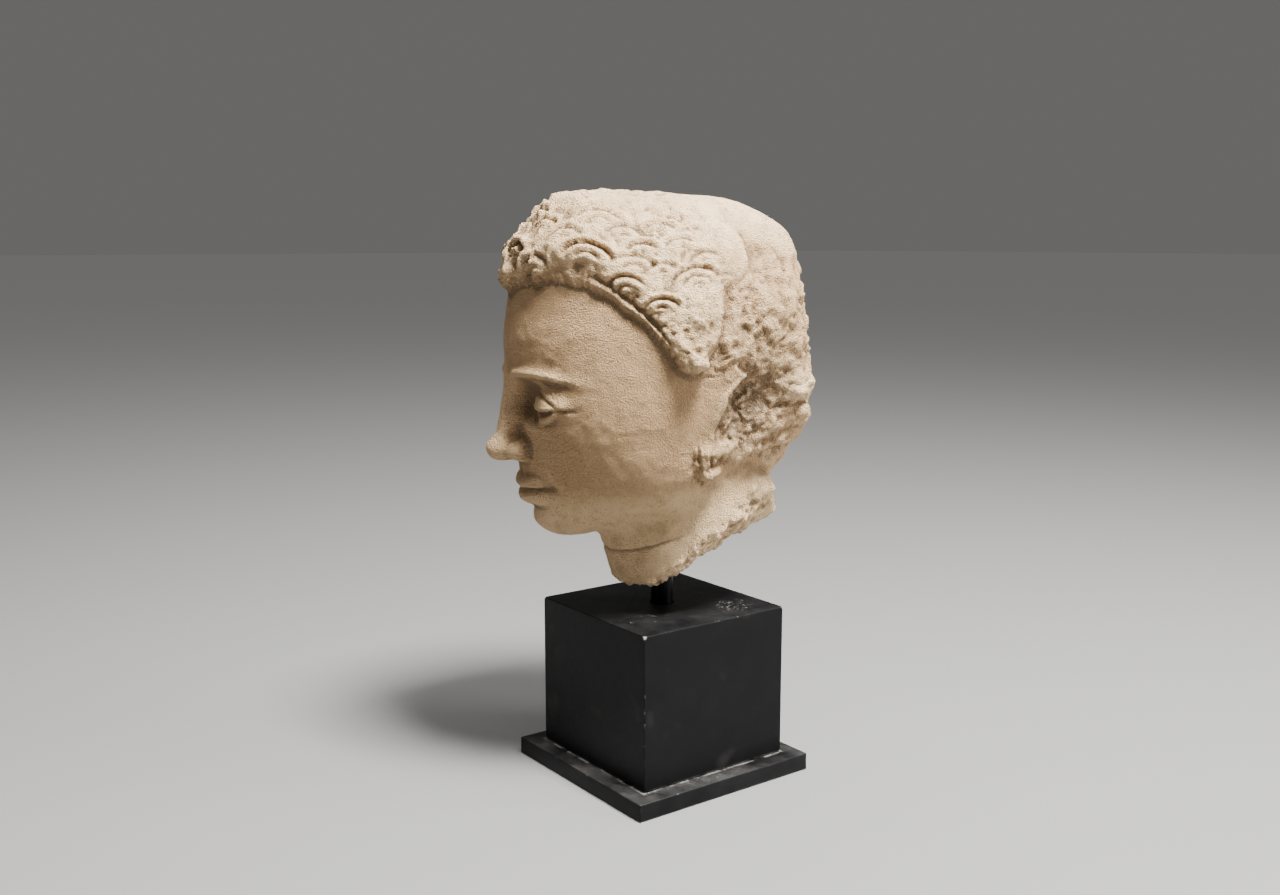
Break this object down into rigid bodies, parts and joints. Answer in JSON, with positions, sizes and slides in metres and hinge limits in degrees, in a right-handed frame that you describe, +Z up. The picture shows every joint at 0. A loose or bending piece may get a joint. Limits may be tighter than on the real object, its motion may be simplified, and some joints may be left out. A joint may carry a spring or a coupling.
{
  "type": "broken sculpted head on a display plinth",
  "caption": "Broken-off sandy stucco head with crescent-curled hair, held by a steel post on a black stepped square plinth.",
  "frame": {"origin": "middle of the plinth slab's underside, at floor level", "axes": "+Z up, -Y the plinth's front; the head looks 18.5 degrees past it towards -X"},
  "size_m": [0.1535, 0.1841, 0.3346],
  "materials": {
    "stucco": "matte, sandy lime stucco",
    "post_steel": "satin black",
    "plinth_paint": "satin black paint, dusty and lightly scratched"
  },
  "bodies": {
    "root": {"stucco_head": "stucco", "mount_post": "post_steel", "plinth_block": "plinth_paint", "plinth_slab": "plinth_paint"}
  },
  "joints": []
}
